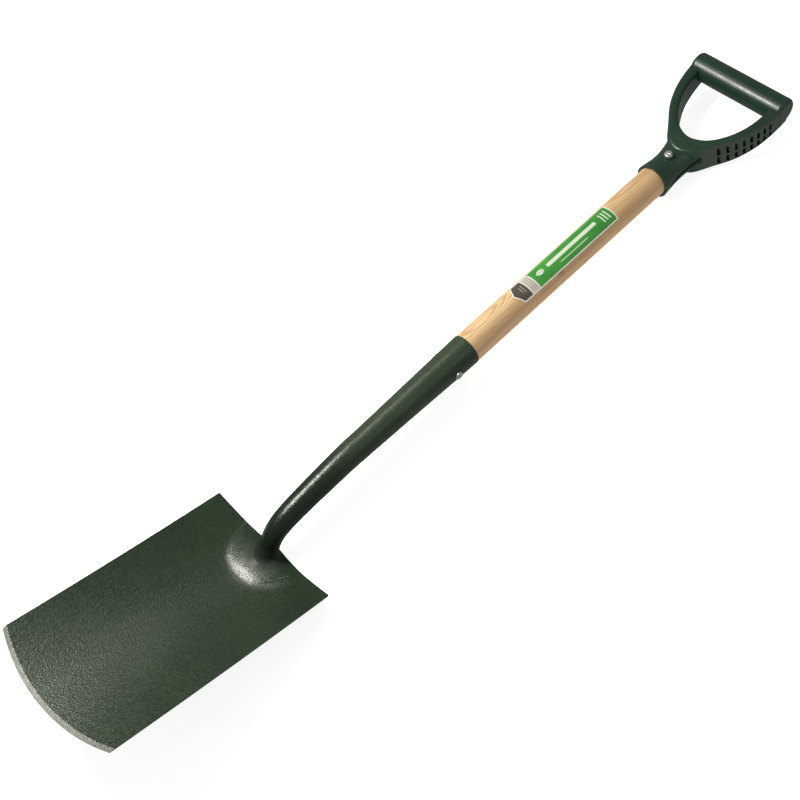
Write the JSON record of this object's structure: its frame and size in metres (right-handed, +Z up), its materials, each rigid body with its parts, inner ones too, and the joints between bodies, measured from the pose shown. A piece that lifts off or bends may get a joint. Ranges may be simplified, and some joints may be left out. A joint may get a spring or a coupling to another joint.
{
  "type": "garden spade",
  "caption": "Long-handled digging spade: dished steel blade with swan-neck socket, wooden shaft and moulded D-shaped hand grip.",
  "frame": {"origin": "on the ground under the middle of the spade, which lies on its back; the ground is Z = 0", "axes": "+X along the spade from the cutting edge to the grip, +Y across the blade, +Z up, towards the side the blade's hollow face looks to"},
  "size_m": [1.0828, 0.18, 0.1129],
  "materials": {
    "hammered_paint": "hammered dark green enamel, semi-gloss",
    "ash_wood": "smooth lacquered ash",
    "green_plastic": "glossy front, matt sides",
    "rivet_steel": "satin",
    "label_paper": "printed sticker, satin"
  },
  "bodies": {
    "root": {"blade_head": "hammered_paint", "shaft": "ash_wood", "d_grip": "green_plastic", "socket_rivet": "rivet_steel", "grip_screw": "rivet_steel", "label": "label_paper"}
  },
  "joints": []
}
